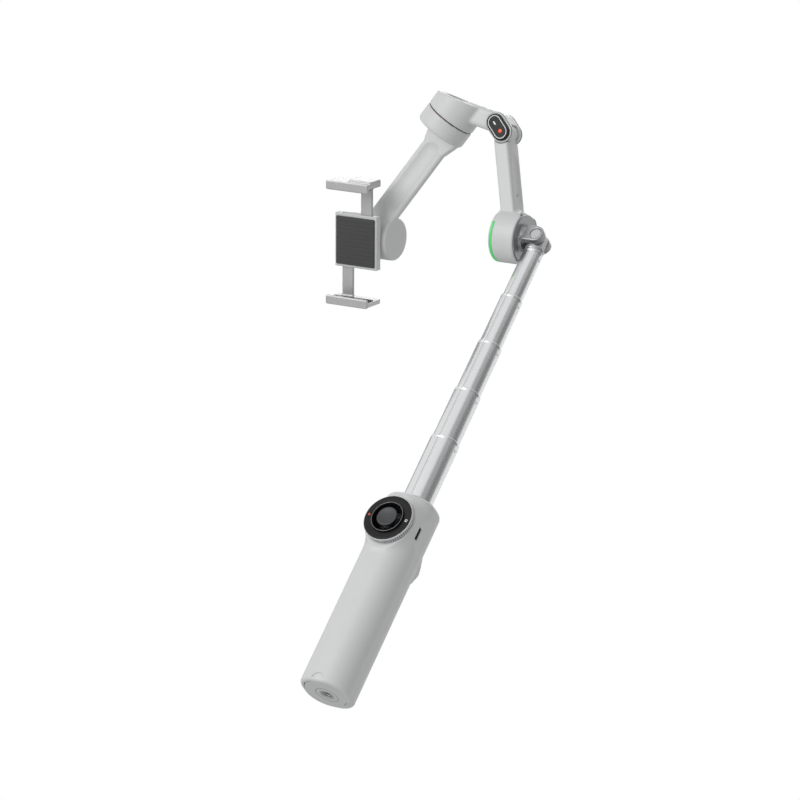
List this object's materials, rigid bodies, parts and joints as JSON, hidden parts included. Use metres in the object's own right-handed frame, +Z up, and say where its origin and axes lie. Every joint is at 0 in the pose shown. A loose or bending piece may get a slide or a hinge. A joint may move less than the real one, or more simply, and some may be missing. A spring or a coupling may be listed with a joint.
{
  "type": "gimbal stabilizer",
  "caption": "Handheld phone gimbal: grip with dial and joystick, telescopic rod, tilting head, three motorised arms and a sprung phone clamp.",
  "frame": {"origin": "mouth of the tripod thread, in the middle of the handle's bottom face", "axes": "+Z up the handle and the rod, -Y the side with the control dial, +X the side with the charging port"},
  "size_m": [0.175, 0.0993, 0.4475],
  "materials": {
    "shell_grey": "satin",
    "rod_aluminium": "satin",
    "gloss_black": "gloss",
    "soft_black": "matte",
    "hinge_steel": "brushed",
    "jaw_metal": "satin",
    "pad_rubber": "matte",
    "light_green": "gloss",
    "winding_copper": "satin",
    "magnet_steel": "satin",
    "board_green": "matte",
    "cell_wrap": "matte"
  },
  "bodies": {
    "handle": {"handle_front_shell": "shell_grey", "handle_back_shell": "shell_grey", "handle_top_cap": "shell_grey", "rod_sleeve": "soft_black", "battery_cell": "cell_wrap", "main_board": "board_green", "usb_port": "soft_black", "handle_screws": "hinge_steel", "control_panel": "gloss_black", "joystick_bezel": "hinge_steel", "joystick_module": "soft_black", "trigger_pin": "hinge_steel", "trigger_switch": "soft_black"},
    "tripod": {"tripod_base": "shell_grey", "thread_insert": "hinge_steel", "tripod_legs": "soft_black"},
    "zoom_dial": {"zoom_dial": "rod_aluminium"},
    "stick_cross": {"joystick_cross": "soft_black"},
    "stick": {"joystick_cap": "soft_black"},
    "trigger": {"trigger": "shell_grey"},
    "stage_1": {"rod_stage_1": "rod_aluminium"},
    "stage_2": {"rod_stage_2": "rod_aluminium"},
    "stage_3": {"rod_stage_3": "rod_aluminium"},
    "stage_4": {"rod_stage_4": "rod_aluminium"},
    "stage_5": {"rod_stage_5": "rod_aluminium", "rod_tip": "hinge_steel"},
    "knuckle": {"pan_knuckle": "hinge_steel", "pivot_pin": "hinge_steel", "pan_windings": "winding_copper", "pan_bearings": "hinge_steel"},
    "pan_unit": {"pan_shaft": "hinge_steel", "pan_magnets": "magnet_steel", "pan_arm": "shell_grey", "pan_end_cap": "shell_grey", "led_strip": "light_green", "arm_cover": "shell_grey", "fold_pin": "hinge_steel"},
    "fold_unit": {"fold_block": "shell_grey", "roll_housing": "shell_grey", "roll_cap": "gloss_black", "hinge_cap": "gloss_black", "roll_windings": "winding_copper", "roll_bearings": "hinge_steel"},
    "roll_unit": {"roll_shaft": "hinge_steel", "roll_magnets": "magnet_steel", "roll_arm": "shell_grey", "roll_arm_panel": "shell_grey", "tilt_windings": "winding_copper", "tilt_bearings": "hinge_steel"},
    "clamp": {"tilt_shaft": "hinge_steel", "tilt_magnets": "magnet_steel", "clamp_frame": "shell_grey", "clamp_pad": "pad_rubber", "pinion_pin": "hinge_steel"},
    "pinion": {"clamp_pinion": "soft_black"},
    "upper_jaw": {"upper_jaw": "jaw_metal", "upper_jaw_pad": "pad_rubber"},
    "lower_jaw": {"lower_jaw": "jaw_metal", "lower_jaw_pad": "pad_rubber"}
  },
  "joints": [
    {"name": "tripod_slide", "type": "slide", "parent": "handle", "child": "tripod", "axis": [0, 0, -1], "range_m": [0, 0.054]},
    {"name": "zoom_dial_turn", "type": "hinge", "parent": "handle", "child": "zoom_dial", "pos_m": [0, -0.0192, 0.1204], "axis": [0, -1, 0], "continuous": true},
    {"name": "stick_side", "type": "hinge", "parent": "handle", "child": "stick_cross", "pos_m": [0, -0.016, 0.1204], "axis": [1, 0, 0], "range_deg": [-10, 10], "stiffness_Nm_per_rad": 0.03},
    {"name": "stick_up", "type": "hinge", "parent": "stick_cross", "child": "stick", "pos_m": [0, -0.016, 0.1204], "axis": [0, 0, 1], "range_deg": [-10, 10], "stiffness_Nm_per_rad": 0.03},
    {"name": "trigger_pull", "type": "hinge", "parent": "handle", "child": "trigger", "pos_m": [0, 0.013, 0.122], "axis": [-1, 0, 0], "range_deg": [0, 6], "stiffness_Nm_per_rad": 0.1},
    {"name": "rod_slide_1", "type": "slide", "parent": "handle", "child": "stage_1", "axis": [0, 0, 1], "range_m": [-0.045, 0]},
    {"name": "rod_slide_2", "type": "slide", "parent": "stage_1", "child": "stage_2", "axis": [0, 0, 1], "range_m": [-0.038, 0]},
    {"name": "rod_slide_3", "type": "slide", "parent": "stage_2", "child": "stage_3", "axis": [0, 0, 1], "range_m": [-0.038, 0]},
    {"name": "rod_slide_4", "type": "slide", "parent": "stage_3", "child": "stage_4", "axis": [0, 0, 1], "range_m": [-0.038, 0]},
    {"name": "rod_slide_5", "type": "slide", "parent": "stage_4", "child": "stage_5", "axis": [0, 0, 1], "range_m": [-0.038, 0]},
    {"name": "head_tilt", "type": "hinge", "parent": "stage_5", "child": "knuckle", "pos_m": [0, 0, 0.3614], "axis": [0, 1, 0], "range_deg": [0, 90]},
    {"name": "pan", "type": "hinge", "parent": "knuckle", "child": "pan_unit", "pos_m": [0, 0, 0.3614], "axis": [-1, 0, 0], "continuous": true},
    {"name": "fold", "type": "hinge", "parent": "pan_unit", "child": "fold_unit", "pos_m": [-0.0376, -0.03445, 0.42107], "axis": [0, 0.866, 0.5], "range_deg": [0, 90]},
    {"name": "roll", "type": "hinge", "parent": "fold_unit", "child": "roll_unit", "pos_m": [-0.0835, -0.0375, 0.42635], "axis": [-0.5255, 0.4254, -0.7368], "range_deg": [-210, 120]},
    {"name": "tilt", "type": "hinge", "parent": "roll_unit", "child": "clamp", "pos_m": [-0.1372, 0.01847, 0.35844], "axis": [-1, 0, 0], "range_deg": [-100, 12]},
    {"name": "upper_jaw_slide", "type": "slide", "parent": "clamp", "child": "upper_jaw", "axis": [0, -0.7349, 0.6782], "range_m": [-0.0068, 0.0032]},
    {"name": "lower_jaw_slide", "type": "slide", "parent": "clamp", "child": "lower_jaw", "axis": [0, 0.7349, -0.6782], "range_m": [-0.0068, 0.0032]},
    {"name": "pinion_turn", "type": "hinge", "parent": "clamp", "child": "pinion", "pos_m": [-0.1392, 0.00016, 0.3386], "axis": [0, -0.6782, -0.7349], "range_deg": [-180, 180]}
  ],
  "couplings": [
    {"joint": "lower_jaw_slide", "follows": "upper_jaw_slide", "ratio": 1},
    {"joint": "pinion_turn", "follows": "upper_jaw_slide", "rad_per_m": 333.33}
  ]
}
